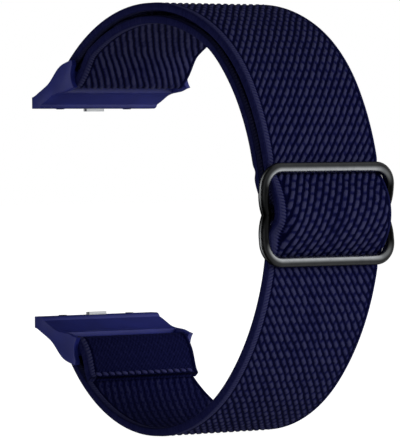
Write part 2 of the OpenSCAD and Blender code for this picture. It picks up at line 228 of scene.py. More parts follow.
CENTRE_BAR = at_slider(0, -BAR_SINK)
OUT_DIR, UP_DIR = polar(1, SLIDER_A), polar(1, SLIDER_A - 90)


def arc(centre, radius, start, end):
    """Dense points along an arc, and the outward directions there."""
    n = max(2, int(abs(math.radians(end - start)) * radius / SAMPLE))
    a = np.linspace(start, end, n + 1)
    return centre + polar(radius, a), polar(1, a)


def bar_gap(p, bar, rest):
    """Gap between two layers: as wide as the bar beside it, and rest further away."""
    return mix(2 * FOLD_IN_R, rest, rise(np.hypot(*(p - bar).T), FOLD_R, 2 * FOLD_R))


def inner_gap(p):
    """Gap behind the outer layer: the upper bar's, then the plain gap, then a wider one at the front."""
    forward = rise(FRONT_C[0] - p[:, 0], WIDEN_FROM, WIDEN_OVER)
    return bar_gap(p, UPPER_BAR, mix(LAYER_GAP, FRONT_GAP, forward))


def hem_gap(p):
    """Gap between the lower run and its hem: the lower bar's, and then next to none."""
    return bar_gap(p, LOWER_BAR, LIE_GAP)


def pass_points(s):
    """Middle of the webbing as it arches over the centre bar, and its thickness. The arch is 1 - x^2,
    where x is 1 at its foot, raised to a power."""
    peak = HEM_R - BAR_SINK + LIE_GAP + ARCH_T / 2
    lift = np.clip(1 - (s / (BUMP_HALF + ARCH_SPARE)) ** 2, 0, 1) ** ARCH_POWER
    return at_slider(s, mix(-WEB_T / 2, peak, lift)), mix(WEB_T, ARCH_T, lift)


def bezier(p, t):
    """Cubic Bezier curve: four points weighted by the terms of (1 - t + t) cubed."""
    t = t[:, None]
    return (1 - t) ** 3 * p[0] + 3 * t * (1 - t) ** 2 * p[1] + 3 * t**2 * (1 - t) * p[2] + t**3 * p[3]


class Route:
    """Middle line of a length of webbing: points in Y and Z with a thickness and a width at each."""

    def __init__(self):
        self.parts = []

    def add(self, points, thick=WEB_T, width=WEB_W):
        """Joins points to the route's end, with one thickness and width or one for each point."""
        n = len(points)
        self.parts.append(np.column_stack([points, np.broadcast_to(thick, n), np.broadcast_to(width, n)]))
        return self

    def add_layer(self, depth, *arcs):
        """Joins arcs of (centre, radius, start, end), depth mm inside their outer face. Depth may be a
        function of the points."""
        for one in arcs:
            points, out = arc(*one)
            inside = depth(points)[:, None] if callable(depth) else depth
            self.add(points - inside * out)
        return self

    def even(self, step, spare=0.02):
        """Rows one step apart along the line, and the length from the route's start to each. Points
        nearer to the one before than spare are left out."""
        rows = np.concatenate(self.parts)
        gone = np.hypot(*np.diff(rows[:, :2], axis=0).T)
        rows = rows[np.concatenate([[True], gone > spare])]
        length = np.concatenate([[0], np.cumsum(np.hypot(*np.diff(rows[:, :2], axis=0).T))])
        n = int(round(length[-1] / step))
        at = np.linspace(0, length[-1], n + 1)
        return np.column_stack([np.interp(at, length, rows[:, k]) for k in range(4)]), at


def lower_route():
    """From the slider's lower bar down the front, round the bottom and the connector's bar, to the hem."""
    route = Route().add(*pass_points(np.arange(-BAR_UP, -PASS_END, -SAMPLE)))
    route.add_layer(
        WEB_T / 2,
        (FRONT_C, FRONT_R, SLIDER_A + (PASS_END + SAMPLE / 2) * MM_A, FRONT_LOW_A),
        (LOW_C, LOW_R, FRONT_LOW_A, LOW_END_A),
    )
    route.add(arc(LOWER_BAR, FOLD_IN_R + WEB_T / 2, LOW_END_A, LOW_END_A + 180)[0])
    hem_a = LOW_END_A - math.degrees(HEM_LEN / LOW_R)
    return route.add_layer(lambda p: 1.5 * WEB_T + hem_gap(p), (LOW_C, LOW_R, LOW_END_A, hem_a))


def outer_route():
    """From the slider's lower bar over the centre bar, up the front, over the top and halfway round the
    upper connector's bar."""
    route = Route().add(*pass_points(np.arange(-BAR_UP, PASS_END, SAMPLE)))
    route.add_layer(
        WEB_T / 2,
        (FRONT_C, FRONT_R, SLIDER_A - (PASS_END + SAMPLE / 2) * MM_A, FRONT_TOP_A),
        (SHOULDER_C, SHOULDER_R, FRONT_TOP_A, TOP_A),
        (TOP_C, TOP_R, TOP_A, UPPER_END_A),
    )
    return route.add(arc(UPPER_BAR, FOLD_IN_R + WEB_T / 2, UPPER_END_A, UPPER_END_A - 90)[0])


def inner_route():
    """From halfway round the upper connector's bar back inside to the slider, round its centre bar, to the
    sewn end."""
    route = Route().add(arc(UPPER_BAR, FOLD_IN_R + WEB_T / 2, UPPER_END_A - 90, UPPER_END_A - 180)[0])
    route.add_layer(
        lambda p: 1.5 * WEB_T + inner_gap(p),
        (TOP_C, TOP_R, UPPER_END_A, TOP_A),
        (SHOULDER_C, SHOULDER_R, TOP_A, FRONT_TOP_A),
        (FRONT_C, FRONT_R, FRONT_TOP_A, SLIDER_A - TAIL_TOP * MM_A),
    )
    s = np.arange(TAIL_TOP - SAMPLE, LIE_GAP, -SAMPLE)
    away = smooth(s / BUMP_HALF)
    back, rest = -BAR_SINK - HEM_R + TIGHT_T / 2, -1.5 * WEB_T - FRONT_GAP
    width = mix(TAIL_W, WEB_W, rise(s, 0.5, TAIL_NARROWS))
    route.add(at_slider(s, mix(back, rest, away)), mix(TIGHT_T, WEB_T, away), width)
    mid_r = HEM_R - TIGHT_T / 2
    turn = np.radians(np.linspace(180, 360 + HEM_LEAVE_A, 70))[:, None]
    route.add(CENTRE_BAR + mid_r * (np.cos(turn) * OUT_DIR + np.sin(turn) * UP_DIR), TIGHT_T, TAIL_W)
    top = polar(mid_r, 90 - HEM_LEAVE_A) - np.array([0, BAR_SINK])
    path = [top, top + polar(HEM_LEAVE, -HEM_LEAVE_A)]
    path += [[HEM_SETTLE * BAR_UP, HEM_END_DEPTH], [BAR_UP, HEM_END_DEPTH]]
    peel = bezier(np.array(path), np.linspace(0, 1, 60))
    route.add(at_slider(peel[:, 0], peel[:, 1]), TIGHT_T, TAIL_W)
    flat = np.arange(BAR_UP, TAIL_LEN + SAMPLE / 2, SAMPLE)
    return route.add(at_slider(flat, HEM_END_DEPTH), TIGHT_T, TAIL_W)


def linear(hex_code):
    """Turns an sRGB hex colour into the linear colour, with alpha, that Blender's sockets take."""
    rgb = np.array([int(hex_code[i : i + 2], 16) for i in (1, 3, 5)]) / 255
    return (*np.where(rgb <= 0.04045, rgb / 12.92, ((rgb + 0.055) / 1.055) ** 2.4), 1.0)


def add_node(tree, kind, *values, inputs=None, stops=(), **settings):
    """Adds a shader node with its settings and links. The kind is written "Math ADD" where it has an
    operation. Values go to its inputs in order, and inputs by name. Each is a plain value, a socket to
    link, or a node whose first output is linked. Stops are a colour ramp's (place, linear colour) pairs."""
    kind, _, operation = kind.partition(" ")
    node = tree.nodes.new("ShaderNode" + kind)
    if operation:
        node.operation = operation
    for key, value in settings.items():
        setattr(node, key, value)
    for key, value in [*enumerate(values), *(inputs or {}).items()]:
        if isinstance(value, bpy.types.Node):
            value = value.outputs[0]
        if isinstance(value, bpy.types.NodeSocket):
            tree.links.new(value, node.inputs[key])
        else:
            node.inputs[key].default_value = value
    for k, (place, colour) in enumerate(stops):
        elements = node.color_ramp.elements
        stop = elements[k] if k < len(elements) else elements.new(place)
        stop.position, stop.color = place, colour
    return node


def new_material(name):
    """A material with no nodes yet, and its tree."""
    material = bpy.data.materials.new(name)
    material.use_nodes = True
    material.node_tree.nodes.clear()
    return material, material.node_tree


def nylon_webbing_material(looks):
    """Woven elastic nylon and its texturised yarn: bulky matt floats over gaps with painted shade, and a
    faint sheen.
    The weave comes from the piece's own "weave" attribute: mm across, mm along, and the height. Along the
    left selvedge small ties are added by a cosine, in a bell as wide as the knots. Filaments in real yarn
    are finer than 0.05 mm, so they are shown as fuzz of about 0.4 mm."""
    material, tree = new_material("Woven nylon yarn")
    weave = add_node(tree, "Attribute", attribute_name="weave").outputs["Vector"]
    across, along, height = add_node(tree, "SeparateXYZ", weave).outputs
    inset = add_node(tree, "Math ADD", across, WEB_W / 2 + KNOTS_IN - looks.left_selvedge)
    inset = add_node(tree, "Math DIVIDE", inset, KNOTS_HALF)
    square = add_node(tree, "Math MULTIPLY", inset, inset)
    knots = add_node(tree, "Math EXPONENT", add_node(tree, "Math MULTIPLY", square, -1.0))
    turns = add_node(tree, "Math DIVIDE", along, looks.tie_pitch)
    turns = add_node(tree, "Math MULTIPLY_ADD", across, TIE_SLANT, turns)
    ties = add_node(tree, "Math COSINE", add_node(tree, "Math MULTIPLY", turns, 2 * math.pi))
    ties = add_node(tree, "Math MULTIPLY", ties, knots)
    height = add_node(tree, "Math MULTIPLY_ADD", ties, TIE_RISE, height)
    level = add_node(tree, "VectorMath MULTIPLY", weave, (1.0, 1.0, 0.0))
    noise = {"Vector": level, "Scale": FUZZ_PER_MM, "Detail": 3.0, "Roughness": 0.7}
    fuzz = add_node(tree, "Math SUBTRACT", add_node(tree, "TexNoise", inputs=noise), 0.5)
    mottled = add_node(tree, "Math MULTIPLY_ADD", fuzz, FUZZ_RISE, height)
    # The colour follows the weave's height: the yarn's own colour, with painted shade deep in the gaps and
    # painted light on the rib tops, over the relief's own shading
    colours = [(0.1, looks.gap_colour), (0.45, looks.yarn_colour), (0.95, looks.top_colour)]
    relief = {"Strength": 0.6, "Distance": 0.12 * MM, "Height": mottled}
    look = {
        "Base Color": add_node(tree, "ValToRGB", mottled, stops=colours),
        "Normal": add_node(tree, "Bump", inputs=relief),
        "Roughness": 0.8,
        "Specular IOR Level": 0.03,
        "Sheen Weight": 0.02,
        "Sheen Roughness": 0.5,
        "Sheen Tint": linear("#5a5c8c"),
    }
    add_node(tree, "OutputMaterial", add_node(tree, "BsdfPrincipled", inputs=look))
    return material


def gunmetal_material(name, light, dark, rubbed):
    """Gunmetal plating, polished and grey: a blurred mirror, cloudy in blotches of about 1 mm. A piece with
    painted light has its own attribute that scales its colour, from 0 for painted shade to 1 for the
    plating's full colour."""
    material, tree = new_material(name)
    place = add_node(tree, "TexCoord").outputs["Object"]
    wear = add_node(tree, "TexNoise", inputs={"Vector": place, "Scale": 0.9 / MM, "Detail": 2.0})
    colour = add_node(tree, "ValToRGB", wear, stops=[(0.3, dark), (0.7, light)])
    if rubbed:
        # Painted light and shade: the piece's own attribute scales the plating's colour
        polish = add_node(tree, "Attribute", attribute_name="polish").outputs["Fac"]
        colour = add_node(tree, "VectorMath SCALE", colour, inputs={"Scale": polish})
    rough = add_node(tree, "Math MULTIPLY_ADD", wear, 0.08, 0.24)
    look = {"Base Color": colour, "Roughness": rough, "Metallic": 1.0}
    add_node(tree, "OutputMaterial", add_node(tree, "BsdfPrincipled", inputs=look))
    return material


def grained_material(name, light, dark, rough, shine):
    """A polymer or thread with a fine even grain, which keeps highlights broad and soft, over cloudy
    patches of about 5 mm. A mould's grain is under 0.05 mm, so it is shown as noise of 0.15 mm."""
    material, tree = new_material(name)
    place = add_node(tree, "TexCoord").outputs["Object"]
    cloud = add_node(tree, "TexNoise", inputs={"Vector": place, "Scale": 0.22 / MM, "Detail": 3.0})
    grain = add_node(tree, "TexNoise", inputs={"Vector": place, "Scale": 6.5 / MM, "Detail": 2.0})
    look = {
        "Base Color": add_node(tree, "ValToRGB", cloud, stops=[(0.3, dark), (0.7, light)]),
        "Normal": add_node(tree, "Bump", inputs={"Strength": 0.25, "Distance": 0.02 * MM, "Height": grain}),
        "Roughness": rough,
        "Specular IOR Level": shine,
    }
    add_node(tree, "OutputMaterial", add_node(tree, "BsdfPrincipled", inputs=look))
    return material


def steel_material(light, dark):
    """Stamped stainless steel: brushed one way, so its highlights spread across the strokes. The strokes
    are 2.5 mm long and, because the real ones are too fine to show, 0.1 mm wide."""
    material, tree = new_material("Brushed stainless steel")
    place = add_node(tree, "TexCoord").outputs["Object"]
    strokes = add_node(tree, "Mapping", inputs={"Vector": place, "Scale": (0.4 / MM, 9 / MM, 9 / MM)})
    lines = add_node(tree, "TexNoise", inputs={"Vector": strokes, "Scale": 1.0, "Detail": 2.0})
    look = {
        "Base Color": add_node(tree, "ValToRGB", lines, stops=[(0.3, dark), (0.7, light)]),
        "Normal": add_node(tree, "Bump", inputs={"Strength": 0.3, "Distance": 0.01 * MM, "Height": lines}),
        "Metallic": 1.0,
        "Roughness": 0.34,
    }
    add_node(tree, "OutputMaterial", add_node(tree, "BsdfPrincipled", inputs=look))
    return material


def seen_by_eye(tree):
    """1 for what the camera sees directly, in a reflection or through glass."""
    path = add_node(tree, "LightPath")
    seen = add_node(tree, "Math MAXIMUM", path.outputs["Is Camera Ray"], path.outputs["Is Glossy Ray"])
    return add_node(tree, "Math MAXIMUM", seen, path.outputs["Is Transmission Ray"])


def paper_material(colour):
    """White seamless paper: it glows to what looks at it, so that it stays white and keeps the shadow."""
    material, tree = new_material("White paper")
    matt = add_node(tree, "BsdfPrincipled", inputs={"Base Color": colour, "Roughness": 0.9})
    glow = add_node(tree, "Emission", inputs={"Color": linear("#ffffff"), "Strength": 1.25})
    share = add_node(tree, "Math MULTIPLY_ADD", seen_by_eye(tree), 0.5, 0.3)
    add_node(tree, "OutputMaterial", add_node(tree, "MixShader", share, matt, glow))
    return material


def tent_material(radius):
    """Dark cloth with lit panels. A panel's light is a bell curve of the turn from its middle, to the power
    4, times one of the height, to the power 3."""
    material, tree = new_material("Dark tent with lit panels")
    x, y, z = add_node(tree, "SeparateXYZ", add_node(tree, "TexCoord").outputs["Object"]).outputs
    turn = add_node(tree, "Math ARCTAN2", x, add_node(tree, "Math MULTIPLY", y, -1.0))
    height = add_node(tree, "Math ARCSINE", add_node(tree, "Math DIVIDE", z, radius * MM))
    glow = TENT_GLOW
    for middle, half_turn, level, half_height, strength in PANELS:
        fall = 0.0
        for angle, at, half, power in [(turn, middle, half_turn, 4.0), (height, level, half_height, 3.0)]:
            off = add_node(tree, "Math SUBTRACT", angle, math.radians(at))
            off = add_node(tree, "Math DIVIDE", off, math.radians(half))
            off = add_node(tree, "Math POWER", add_node(tree, "Math ABSOLUTE", off), power)
            fall = add_node(tree, "Math ADD", fall, off)
        lit = add_node(tree, "Math EXPONENT", add_node(tree, "Math MULTIPLY", fall, -1.0))
        glow = add_node(tree, "Math MULTIPLY_ADD", lit, strength, glow)
    light = add_node(tree, "Emission", inputs={"Color": linear("#ffffff"), "Strength": glow})
    add_node(tree, "OutputMaterial", light)
    return material


def scatter(i, j):
    """A number from -1 to 1 for each pair of whole numbers, without a visible order: the fraction of a
    large multiple of a sine of both."""
    return 2 * np.modf(np.abs(np.sin(i * 12.9898 + j * 78.233) * 43758.5453))[0] - 1


def drift(size, x, y):
    """Smooth noise of a size, which is its height and its width in x and in y: scattered numbers at whole
    places, blended between them."""
    u, v = x / size[1], y / size[2]
    i, j = np.floor(u), np.floor(v)
    a, b = smooth(u - i), smooth(v - j)
    near = mix(scatter(i, j), scatter(i + 1, j), a)
    far = mix(scatter(i, j + 1), scatter(i + 1, j + 1), a)
    return size[0] * mix(near, far, b)


def weave_height(across, along, phase, calm, even, stagger, looks):
    """Height of the weave, from 0 deep in a gap to 1 on a rib. The phase counts ribs in turns.
    A rib is a raised cosine of the phase, cut square. It is broken into floats by a cosine of the column
    and one of the row. Each float is a little higher or lower than the next. Calm, from 0 to 1, flattens
    it to fine dots, and even leaves the ribs unbroken. Stagger breaks each rib half a row away from the
    next. A selvedge is a level band with a groove inside it, and the left one has a bell of knots."""
    column = across / looks.column_pitch
    phase = phase + (1 - 0.7 * even) * drift(RIB_WANDER, across, along) + drift(RIB_JITTER, across, along)
    row = along / looks.row_pitch + drift(ROW_JITTER, across, along)
    rib = rise(0.5 + 0.5 * np.cos(2 * np.pi * phase), RIB_FOOT, RIB_RISE)
    in_columns = 0.55 * np.cos(2 * np.pi * column) + 0.45 * np.cos(2 * np.pi * row)
    in_bricks = np.cos(2 * np.pi * (row + 0.5 * np.round(phase)))
    dash = mix(rise(in_columns, -1, 1), rise(in_bricks, -1, 1), stagger)
    dash = mix(dash, UNBROKEN, even)
    own = 1 + FLOAT_VARIES * scatter(np.round(column), np.round(phase))
    woven = rib * mix(FLOAT_ENDS, FLOAT_CREST, dash) * own
    dots = np.cos(4 * np.pi * column) * np.cos(4 * np.pi * row)
    woven = mix(woven, FINE_LEVEL + FINE_DOTS * dots + 0.1 * (woven - 0.5), calm)
    from_left = across + WEB_W / 2 - looks.left_selvedge
    from_right = WEB_W / 2 - across - looks.right_selvedge
    knots = bell(from_left, -KNOTS_IN, KNOTS_HALF)
    bands = np.where(from_left < from_right, LEFT_BAND + KNOTS_RISE * knots, RIGHT_BAND)
    inside = np.minimum(from_left, from_right)
    height = mix(bands, woven, rise(inside, -STEP_OVER / 2, STEP_OVER))
    return np.clip(height - GROOVE_DEPTH * bell(inside, 0, GROOVE_HALF), 0, 1.2)


def grid_faces(rows, columns):
    """Quads of a grid whose columns close into a ring, as an array of vertex numbers."""
    r, c = np.meshgrid(np.arange(rows - 1), np.arange(columns), indexing="ij")
    n = (c + 1) % columns
    quads = [r * columns + c, r * columns + n, (r + 1) * columns + n, (r + 1) * columns + c]
    return np.stack(quads, -1).reshape(-1, 4)


def finish_mesh(mesh, material, smooth_shading=True):
    """Gives a mesh its shading and its one material."""
    mesh.polygons.foreach_set("use_smooth", np.full(len(mesh.polygons), smooth_shading))
    mesh.materials.clear()
    mesh.materials.append(material)
    mesh.update()


def new_object(mesh):
    """An object at the origin that shows a mesh and is named like it."""
    piece = bpy.data.objects.new(mesh.name, mesh)
    bpy.context.scene.collection.objects.link(piece)
    return piece


def new_piece(name, points, faces, material, smooth_shading=True):
    """A mesh object at the origin from points in mm and a list of faces."""
    mesh = bpy.data.meshes.new(name)
    mesh.from_pydata((np.asarray(points) * MM).tolist(), [], faces)
    finish_mesh(mesh, material, smooth_shading)
    return new_object(mesh)


def keep_attribute(piece, name, kind, values):
    """Puts one number or three for each vertex into the piece's own attribute, for its material."""
    data = piece.data.attributes.new(name, kind, "POINT").data
    data.foreach_set("vector" if kind == "FLOAT_VECTOR" else "value", values.astype(np.float32).ravel())


def section(half_width, looks):
    """Ring of points round the webbing's section, as (across, share of half the thickness).
    Both faces are level, and each edge is a half ellipse."""
    columns = int(2 * half_width / looks.column_step)
    flat = half_width - looks.edge_round
    x = np.linspace(-flat, flat, columns)
    a = np.radians(np.linspace(90, -90, 9)[1:-1])
    edge_x, edge_z = flat + looks.edge_round * np.cos(a), np.sin(a)
    across = np.concatenate([x, edge_x, x[::-1], -edge_x])
    lift = np.concatenate([np.ones(columns), edge_z, -np.ones(columns), -edge_z[::-1]])
    return across, lift


def end_faces(n_face, n_ring, first, turned):
    """Faces that close one end of the webbing, whose ring starts at vertex first and has n_face points on
    each face: a strip of quads across the thickness, and a half round at each edge."""
    n_edge = n_ring // 2 - n_face
    ring = np.arange(first, first + n_ring)
    top, edge_a, low, edge_b = np.split(ring, [n_face, n_face + n_edge, 2 * n_face + n_edge])
    low = low[::-1]
    quads = np.stack([top[:-1], top[1:], low[1:], low[:-1]], -1)
    rounds = np.stack([[top[-1], *edge_a, low[-1]], [low[0], *edge_b, top[0]]])
    step = 1 if turned else -1
    return quads[:, ::step].tolist() + rounds[:, ::step].tolist()


def weave_turns(at, leans, looks):
    """Turns that the rib's phase gains along the strap, from (length, turns per mm) pairs joined in line.
    At the far end they are as many as the rows of the weave, so that ribs and rows meet there."""
    step = np.interp(at, *np.array(leans).T)
    turns = np.concatenate([[0], np.cumsum((step[1:] + step[:-1]) / 2 * np.diff(at))])
    return turns - turns[-1] + math.copysign(at[-1] / looks.row_pitch, turns[-1])


def webbing_piece(
    name, route, out_sign, leans, looks, material, curl=0.0, even=0.0, calm_from=None, inside_calm=0.0
):
    """One length of webbing: its section carried along the route, with the weave's relief on both faces.
    Relief goes down from the CAD face. The outer face lies left of the route where out_sign is 1. Leans
    are two lists, for the outer and the inner face. The slider's bars press a dent each into the outer
    face, as deep as they go when the slider tilts. Curl bends both edges in where the webbing is tight,
    even leaves its ribs unbroken, and the weave is fine and flat from the length calm_from on and, as
    far as inside_calm says, on the inner face."""
    rows, at = route.even(looks.row_step)
    at = at[:, None]
    along = np.gradient(rows[:, :2], axis=0)
    along /= np.hypot(*along.T)[:, None]
    out = np.column_stack([-along[:, 1], along[:, 0]]) * out_sign
    across, lift = section(WEB_W / 2 + looks.spare, looks)
    across, lift = across[None, :], lift[None, :]
    outside, face = lift > 0, abs(lift) > 0.999

    turns = [weave_turns(at[:, 0], pairs, looks)[:, None] for pairs in leans]
    phase = across / looks.column_pitch + np.where(outside, *turns)
    calm = np.where(outside, 0.0, inside_calm)
    if calm_from is not None:
        calm = np.maximum(calm, rise(at, calm_from, CALM_OVER))
    stagger = 1 - rise(at, STAGGER_END, STAGGER_OVER) if curl else 0.0
    height = weave_height(across, at + 0 * phase, phase, calm, even, stagger, looks)

    half = rows[:, 2:3] / 2
    depth = np.where(face, looks.relief * np.clip(1 - height, 0, 1), EDGE_SINK)
    turn = np.degrees(np.arctan2(rows[:, 1:2], FRONT_C[0] - rows[:, :1]))
    up = (turn + SLIDER_A - 180) / MM_A
    pressed = looks.dent * bell(abs(up), BAR_UP + DENT_OUT, DENT_HALF)
    depth = depth + np.where(outside & (rows[:, :1] < FRONT_C[0]), pressed, 0)
    tight = (WEB_T - rows[:, 2:3]) / (WEB_T - ARCH_T)
    left_edge, right_edge = rise(-across, *CURL_LEFT), rise(across, *CURL_RIGHT)
    slack = bell(up, SLACK_AT, SLACK_HALF) * left_edge
    inward = tight * (left_edge + RIGHT_CURLS * right_edge) + SLACK_SINKS * slack
    x = across * rows[:, 3:4] / WEB_W
    if curl:
        x = x - SPREAD_BY * bell(up, SPREAD_AT, SPREAD_HALF) * left_edge

    lifted = lift * (half - depth) - curl * inward
    y, z = (rows[:, k : k + 1] + out[:, k : k + 1] * lifted for k in (0, 1))
    points = np.stack([np.broadcast_to(x, lifted.shape), y, z], -1)
    n_rows, n_ring = lifted.shape
    quads = grid_faces(n_rows, n_ring)
    faces = (quads if out_sign > 0 else quads[:, ::-1]).tolist()
    n_face = int((lift > 0.999).sum())
    faces += end_faces(n_face, n_ring, 0, out_sign > 0)
    faces += end_faces(n_face, n_ring, (n_rows - 1) * n_ring, out_sign < 0)
    piece = new_piece(name, points.reshape(-1, 3), faces, material)
    values = np.stack([x + 0 * height, at + 0 * height, np.where(face, height, EDGE_LEVEL)], -1)
    keep_attribute(piece, "weave", "FLOAT_VECTOR", values)
    return piece


def bend(piece):
    """Bakes a piece's transform into its mesh."""
    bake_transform(piece)


def stitch_piece(name, at, normal, reach, looks, material):
    """A row of stitches across the strap on one face, as many as fit in reach mm. Each is a rounded lump
    of thread: a flattened circle, as wide as a power of the cosine of a half turn along it, that leans a
    little. At is the row's place in Y and Z on the face, and normal points out of the face."""
    sides, rings = 12, 9
    n = int(reach / looks.pitch)
    middle = (np.arange(n) - (n - 1) / 2) * looks.pitch
    around, along = np.radians(np.arange(sides) * 360 / sides), np.radians(np.linspace(-90, 90, rings))
    thin = np.maximum(np.cos(along), 0.02)[:, None] ** STITCH_POWER * looks.thread / 2
    beside = np.array([-normal[1], normal[0]])
    x = middle[:, None, None] + (looks.length / 2 * np.sin(along))[None, :, None] + 0 * around
    lean = STITCH_LEAN * np.sin(along)[:, None]
    u, v = thin * np.cos(around) + lean, STITCH_FLAT * thin * np.sin(around)
    y, z = (at[k] + u * beside[k] + v * normal[k] + 0 * x for k in (0, 1))
    points = np.stack([x, y, z], -1)
    ends = np.array([np.arange(sides)[::-1], (rings - 1) * sides + np.arange(sides)])
    shift = (np.arange(n) * rings * sides)[:, None, None]
    faces = (shift + grid_faces(rings, sides)).reshape(-1, 4).tolist()
    faces += (shift + ends).reshape(-1, sides).tolist()
    return new_piece(name, points.reshape(-1, 3), faces, material)


def loop_points():
    """Half of one loop of the wire in its own plane: from the waist up its side, round a corner, to the
    middle of its bar, as X and the distance from the centre bar. With it comes the loop's tilt, which lets
    its bar lie on the webbing."""
    rail_x = SLIDER_W / 2 - WIRE_R
    bar_out = math.sqrt((FRONT_R + SLIDE_GAP + WIRE_R) ** 2 - BAR_UP**2) - FRONT_R + BAR_SINK
    loop_h = math.hypot(BAR_UP, bar_out)
    side_y = math.sqrt(SIDE_R**2 - (SIDE_R - WAIST_IN) ** 2)
    first = -math.degrees(math.asin(side_y / SIDE_R))
    side = np.array([rail_x - SIDE_R, side_y]) + polar(SIDE_R, np.linspace(first, 0, 24))
    corner_c = np.array([rail_x - CORNER_R, loop_h - CORNER_R])
    corner = corner_c + polar(CORNER_R, np.linspace(0, 90, 28))
    rail = np.linspace(side[-1], corner[0], 8)[1:-1]
    bar = np.linspace(corner[-1], [0, loop_h], 30)[1:]
    return np.concatenate([side, rail, corner, bar]), math.atan2(bar_out, BAR_UP)


def wire_painted_light(points, facing, looks):
    """Painted light on the slider's plating, from 0 for painted shade to 1 for the full colour. Facing is 1
    on the side of the wire that faces the window of its loop and -1 on the far side. Painted highlights sit
    on the bars' side that faces the window and in a line on both sides of the rails, dying out to the waist.
    The right corners inside the bars are painted darker."""
    x, up = points[:, :1], np.abs((points[:, 1:] - CENTRE_BAR) @ UP_DIR)[:, None]
    rail = mix(looks.left_painted_light, looks.right_painted_light, smooth(x / SLIDER_W + 0.5))
    rail = rail * rise(up, *RAIL_LIGHTS) * rise(np.abs(facing), *RAIL_LINES) + DARK_RAIL
    bar = mix(DARK_BAR, 1, rise(facing, *BAR_LINE))
    corner = rise(x, *CORNER_X) * (1 - rise(up, *CORNER_UP))
    return mix(rail, bar, rise(up, *BAR_STARTS)) * mix(1, DARK_CORNER, corner)


def wire_piece(looks, material):
    """The slider's wire: a circle carried along both loops, which meet at the waists and make one closed
    path like an 8. The circle stays square to the path, and turns smoothly from loop to loop."""
    half, tilt = loop_points()
    loop = np.concatenate([half, (half * [-1, 1])[-2::-1]])
    points, normals, middles = [], [], []
    for side in (1, -1):
        path = loop[:-1] if side > 0 else loop[:0:-1]
        v_dir = side * math.cos(tilt) * UP_DIR + math.sin(tilt) * OUT_DIR
        n_dir = math.cos(tilt) * OUT_DIR - side * math.sin(tilt) * UP_DIR
        points.append(np.column_stack([path[:, 0], CENTRE_BAR + path[:, 1:2] * v_dir]))
        normals.append(np.broadcast_to([0, *n_dir], (len(path), 3)))
        middles.append(np.broadcast_to([0, *(CENTRE_BAR + BAR_UP / 2 * v_dir)], (len(path), 3)))
    points, normals, middles = np.concatenate(points), np.concatenate(normals), np.concatenate(middles)
    tangent = np.roll(points, -1, 0) - np.roll(points, 1, 0)
    tangent /= np.linalg.norm(tangent, axis=1)[:, None]

    def square(v):
        """The part of each vector that is square to the path, with length 1."""
        v = v - (v * tangent).sum(1)[:, None] * tangent
        return v / np.linalg.norm(v, axis=1)[:, None]

    normals = square((normals + np.roll(normals, 1, 0)) / 2)
    beside = np.cross(tangent, normals)
    turn = np.linspace(0, 2 * np.pi, 32, endpoint=False)[None, :, None]
    ring = np.cos(turn) * normals[:, None] + np.sin(turn) * beside[:, None]
    tube = points[:, None] + WIRE_R * ring
    n, m = tube.shape[:2]
    r, c = np.meshgrid(np.arange(n), np.arange(m), indexing="ij")
    r2, c2 = (r + 1) % n, (c + 1) % m
    quads = np.stack([r * m + c, r2 * m + c, r2 * m + c2, r * m + c2], -1).reshape(-1, 4)
    piece = new_piece("slider_wire", tube.reshape(-1, 3), quads.tolist(), material)
    facing = np.einsum("nmk,nk->nm", ring, square(middles - points))
    # Painted light and shade for the plating, one value for each vertex
    keep_attribute(piece, "polish", "FLOAT", wire_painted_light(points, facing, looks))
    return piece


def merged_copy(name, node, material):
    """A copy of a CAD node with its vertices merged and its level faces joined."""
    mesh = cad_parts[node].data.copy()
    mesh.name = name
    work = bmesh.new()
    work.from_mesh(mesh)
    bmesh.ops.remove_doubles(work, verts=work.verts, dist=1e-6)
    level = math.radians(1.0)
    bmesh.ops.dissolve_limit(work, angle_limit=level, verts=work.verts, edges=work.edges)
    work.to_mesh(mesh)
    work.free()
    finish_mesh(mesh, material)
    piece = new_object(mesh)
    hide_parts(node)
    return piece


def shell_piece(side, material, radius):
    """A connector with its sharp edges rounded, in place of the CAD node."""
    piece = merged_copy(side + "_shell", side + "_connector", material)
    bevel = piece.modifiers.new("Rounded edges", "BEVEL")
    bevel.width, bevel.segments, bevel.limit_method = radius * MM, 3, "ANGLE"
    bevel.angle_limit = math.radians(35.0)
    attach(piece, side + "_connector")


def spring_piece(side, material):
    """The latch's bowed leaf spring: a merged copy of the CAD node, with its transform baked into its mesh."""
    piece = merged_copy(side + "_leaf_spring", side + "_latch_spring", material)
    corners = np.empty(3 * len(piece.data.vertices))
    piece.data.vertices.foreach_get("co", corners)
    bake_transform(piece)


def dress(node, material):
    """Gives a CAD node a material on its own slots."""
    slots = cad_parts[node].data.materials
    slots.clear()
    slots.append(material)


def length_property(name, description, mm):
    """A length that a user can change, given in mm and kept in metres."""
    return bpy.props.FloatProperty(
        name=name, description=description, default=mm * MM, min=0.0, precision=5, unit="LENGTH"
    )


def share_property(name, description, default):
    """A share from 0 to 1 that a user can change."""
    return bpy.props.FloatProperty(
        name=name, description=description, default=default, min=0.0, max=1.0, subtype="FACTOR"
    )


def power_property(name, description, watts):
    """A lamp's power that a user can change."""
    return bpy.props.FloatProperty(name=name, description=description, default=watts, min=0.0, unit="POWER")


def colour_property(name, description, hex_code):
    """A colour that a user can change, given as sRGB hex and kept linear."""
    colour = linear(hex_code)
    return bpy.props.FloatVectorProperty(
        name=name, description=description, default=colour, min=0.0, max=1.0, size=4, subtype="COLOR"
    )


def plain(group):
    """A property group's values: lengths in mm, colours as tuples, and the rest as it is. Numbers are
    rounded to a millionth, because Blender keeps them in single precision."""
    values = {}
    for name in type(group).__annotations__:
        value, kept = getattr(group, name), group.bl_rna.properties[name]
        if kept.subtype == "COLOR":
            values[name] = tuple(value)
        else:
            values[name] = round(value / MM if kept.unit == "LENGTH" else value, 6)
    return SimpleNamespace(**values)


